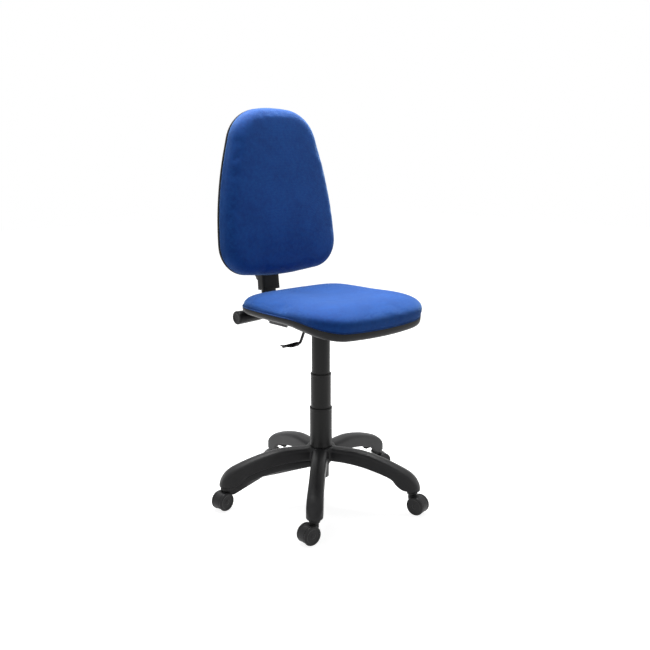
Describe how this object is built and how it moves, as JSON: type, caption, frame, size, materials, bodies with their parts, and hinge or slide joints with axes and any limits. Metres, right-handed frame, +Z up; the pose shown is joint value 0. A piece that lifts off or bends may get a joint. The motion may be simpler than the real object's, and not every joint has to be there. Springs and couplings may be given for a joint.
{
  "type": "swivel office chair",
  "caption": "Armless swivel task chair with gas lift, tilting and height-adjustable back, and a five-leg base on twin-wheel casters.",
  "frame": {"origin": "on the floor, under the gas lift's axis", "axes": "+Z up; the sitter faces -Y, so the back is at +Y and the sitter's right at -X"},
  "size_m": [0.6358, 0.6355, 1.1591],
  "materials": {
    "base_plastic": "satin",
    "cover_plastic": "semi-gloss",
    "hood_plastic": "satin",
    "wheel_nylon": "semi-gloss",
    "black_steel": "satin black",
    "bright_steel": "ground",
    "zinc_steel": "zinc plated",
    "knob_plastic": "satin",
    "shell_plastic": "grained",
    "buffer_rubber": "matt",
    "plywood": "bare",
    "blue_fabric": "woven"
  },
  "bodies": {
    "base": {"star_base": "base_plastic", "stand_tube": "black_steel", "guide_bush": "knob_plastic", "bearing_lower_washer": "zinc_steel", "bearing_balls": "bright_steel", "bearing_upper_washer": "zinc_steel", "lift_buffer": "buffer_rubber", "retaining_clip": "zinc_steel", "cover_lower": "cover_plastic", "caster_stems": "zinc_steel", "caster_grip_rings": "zinc_steel"},
    "lift_rod": {"piston_rod": "bright_steel"},
    "cover_middle": {"cover_middle": "cover_plastic"},
    "seat_unit": {"gas_cylinder": "black_steel", "cover_upper": "cover_plastic", "mechanism_channel": "black_steel", "taper_socket": "zinc_steel", "seat_bolts": "zinc_steel", "seat_shell": "shell_plastic", "seat_board": "plywood", "seat_tee_nuts": "zinc_steel", "seat_cushion": "blue_fabric", "tilt_bolt": "zinc_steel", "tilt_nut": "zinc_steel", "tilt_spring": "zinc_steel"},
    "valve_pin": {"valve_pin": "bright_steel"},
    "lever": {"lever_rod": "black_steel", "lever_paddle": "knob_plastic"},
    "tilt_knob": {"tilt_lock_knob": "knob_plastic"},
    "upright": {"back_upright": "black_steel", "upright_cover": "shell_plastic"},
    "back": {"back_sleeve": "shell_plastic", "back_bolts": "zinc_steel", "back_bridge": "zinc_steel", "bridge_screws": "zinc_steel", "back_board": "plywood", "back_shell": "shell_plastic", "back_cushion": "blue_fabric", "height_knob_stud": "zinc_steel"},
    "height_knob": {"height_knob": "knob_plastic"},
    "caster_1": {"caster_1_hood": "hood_plastic", "caster_1_axle": "zinc_steel"},
    "caster_1_wheel_right": {"caster_1_wheel_right": "wheel_nylon"},
    "caster_1_wheel_left": {"caster_1_wheel_left": "wheel_nylon"},
    "caster_2": {"caster_2_hood": "hood_plastic", "caster_2_axle": "zinc_steel"},
    "caster_2_wheel_right": {"caster_2_wheel_right": "wheel_nylon"},
    "caster_2_wheel_left": {"caster_2_wheel_left": "wheel_nylon"},
    "caster_3": {"caster_3_hood": "hood_plastic", "caster_3_axle": "zinc_steel"},
    "caster_3_wheel_right": {"caster_3_wheel_right": "wheel_nylon"},
    "caster_3_wheel_left": {"caster_3_wheel_left": "wheel_nylon"},
    "caster_4": {"caster_4_hood": "hood_plastic", "caster_4_axle": "zinc_steel"},
    "caster_4_wheel_right": {"caster_4_wheel_right": "wheel_nylon"},
    "caster_4_wheel_left": {"caster_4_wheel_left": "wheel_nylon"},
    "caster_5": {"caster_5_hood": "hood_plastic", "caster_5_axle": "zinc_steel"},
    "caster_5_wheel_right": {"caster_5_wheel_right": "wheel_nylon"},
    "caster_5_wheel_left": {"caster_5_wheel_left": "wheel_nylon"}
  },
  "joints": [
    {"name": "seat_swivel", "type": "hinge", "parent": "base", "child": "lift_rod", "pos_m": [0, 0, 0.2], "axis": [0, 0, 1], "continuous": true},
    {"name": "gas_lift", "type": "slide", "parent": "lift_rod", "child": "seat_unit", "axis": [0, 0, 1], "range_m": [-0.13, 0]},
    {"name": "cover_slide", "type": "slide", "parent": "base", "child": "cover_middle", "axis": [0, 0, 1], "range_m": [-0.065, 0]},
    {"name": "lever_lift", "type": "hinge", "parent": "seat_unit", "child": "lever", "pos_m": [-0.033, -0.02, 0.5703], "axis": [0, 1, 0], "range_deg": [0, 5], "stiffness_Nm_per_rad": 12, "springref_deg": -2.86},
    {"name": "valve_press", "type": "slide", "parent": "seat_unit", "child": "valve_pin", "axis": [0, 0, 1], "range_m": [-0.0031, 0]},
    {"name": "tilt_lock_turn", "type": "hinge", "parent": "seat_unit", "child": "tilt_knob", "pos_m": [-0.1, 0.165, 0.556], "axis": [1, 0, 0], "range_deg": [-720, 0]},
    {"name": "back_tilt", "type": "hinge", "parent": "seat_unit", "child": "upright", "pos_m": [0, 0.165, 0.556], "axis": [-1, 0, 0], "range_deg": [-4, 16], "deforming": ["tilt_spring"]},
    {"name": "back_height", "type": "slide", "parent": "upright", "child": "back", "axis": [0, 0.0906, 0.9959], "range_m": [0, 0.06]},
    {"name": "height_knob_turn", "type": "hinge", "parent": "back", "child": "height_knob", "pos_m": [0, 0.27474, 0.65848], "axis": [0, 0.9959, -0.0906], "range_deg": [-720, 0]},
    {"name": "caster_1_swivel", "type": "hinge", "parent": "base", "child": "caster_1", "pos_m": [-0.20153, -0.20153, 0.05], "axis": [0, 0, 1], "continuous": true},
    {"name": "caster_1_roll_right", "type": "hinge", "parent": "caster_1", "child": "caster_1_wheel_right", "pos_m": [-0.22149, -0.20034, 0.0275], "axis": [-0.0593, -0.9982, 0], "continuous": true},
    {"name": "caster_1_roll_left", "type": "hinge", "parent": "caster_1", "child": "caster_1_wheel_left", "pos_m": [-0.22149, -0.20034, 0.0275], "axis": [-0.0593, -0.9982, 0], "continuous": true},
    {"name": "caster_2_swivel", "type": "hinge", "parent": "base", "child": "caster_2", "pos_m": [0.12939, -0.25394, 0.05], "axis": [0, 0, 1], "continuous": true},
    {"name": "caster_2_roll_right", "type": "hinge", "parent": "caster_2", "child": "caster_2_wheel_right", "pos_m": [0.133, -0.27361, 0.0275], "axis": [0.9836, 0.1805, 0], "continuous": true},
    {"name": "caster_2_roll_left", "type": "hinge", "parent": "caster_2", "child": "caster_2_wheel_left", "pos_m": [0.133, -0.27361, 0.0275], "axis": [0.9836, 0.1805, 0], "continuous": true},
    {"name": "caster_3_swivel", "type": "hinge", "parent": "base", "child": "caster_3", "pos_m": [0.28149, 0.04458, 0.05], "axis": [0, 0, 1], "continuous": true},
    {"name": "caster_3_roll_right", "type": "hinge", "parent": "caster_3", "child": "caster_3_wheel_right", "pos_m": [0.30057, 0.03857, 0.0275], "axis": [0.3007, 0.9537, 0], "continuous": true},
    {"name": "caster_3_roll_left", "type": "hinge", "parent": "caster_3", "child": "caster_3_wheel_left", "pos_m": [0.30057, 0.03857, 0.0275], "axis": [0.3007, 0.9537, 0], "continuous": true},
    {"name": "caster_4_swivel", "type": "hinge", "parent": "base", "child": "caster_4", "pos_m": [0.04458, 0.28149, 0.05], "axis": [0, 0, 1], "continuous": true},
    {"name": "caster_4_roll_right", "type": "hinge", "parent": "caster_4", "child": "caster_4_wheel_right", "pos_m": [0.03443, 0.29872, 0.0275], "axis": [-0.8616, -0.5075, 0], "continuous": true},
    {"name": "caster_4_roll_left", "type": "hinge", "parent": "caster_4", "child": "caster_4_wheel_left", "pos_m": [0.03443, 0.29872, 0.0275], "axis": [-0.8616, -0.5075, 0], "continuous": true},
    {"name": "caster_5_swivel", "type": "hinge", "parent": "base", "child": "caster_5", "pos_m": [-0.25394, 0.12939, 0.05], "axis": [0, 0, 1], "continuous": true},
    {"name": "caster_5_roll_right", "type": "hinge", "parent": "caster_5", "child": "caster_5_wheel_right", "pos_m": [-0.2737, 0.12633, 0.0275], "axis": [0.153, -0.9882, 0], "continuous": true},
    {"name": "caster_5_roll_left", "type": "hinge", "parent": "caster_5", "child": "caster_5_wheel_left", "pos_m": [-0.2737, 0.12633, 0.0275], "axis": [0.153, -0.9882, 0], "continuous": true}
  ],
  "couplings": [
    {"joint": "cover_slide", "follows": "gas_lift", "ratio": 0.5},
    {"joint": "valve_press", "follows": "lever_lift", "m_per_rad": -0.033}
  ]
}
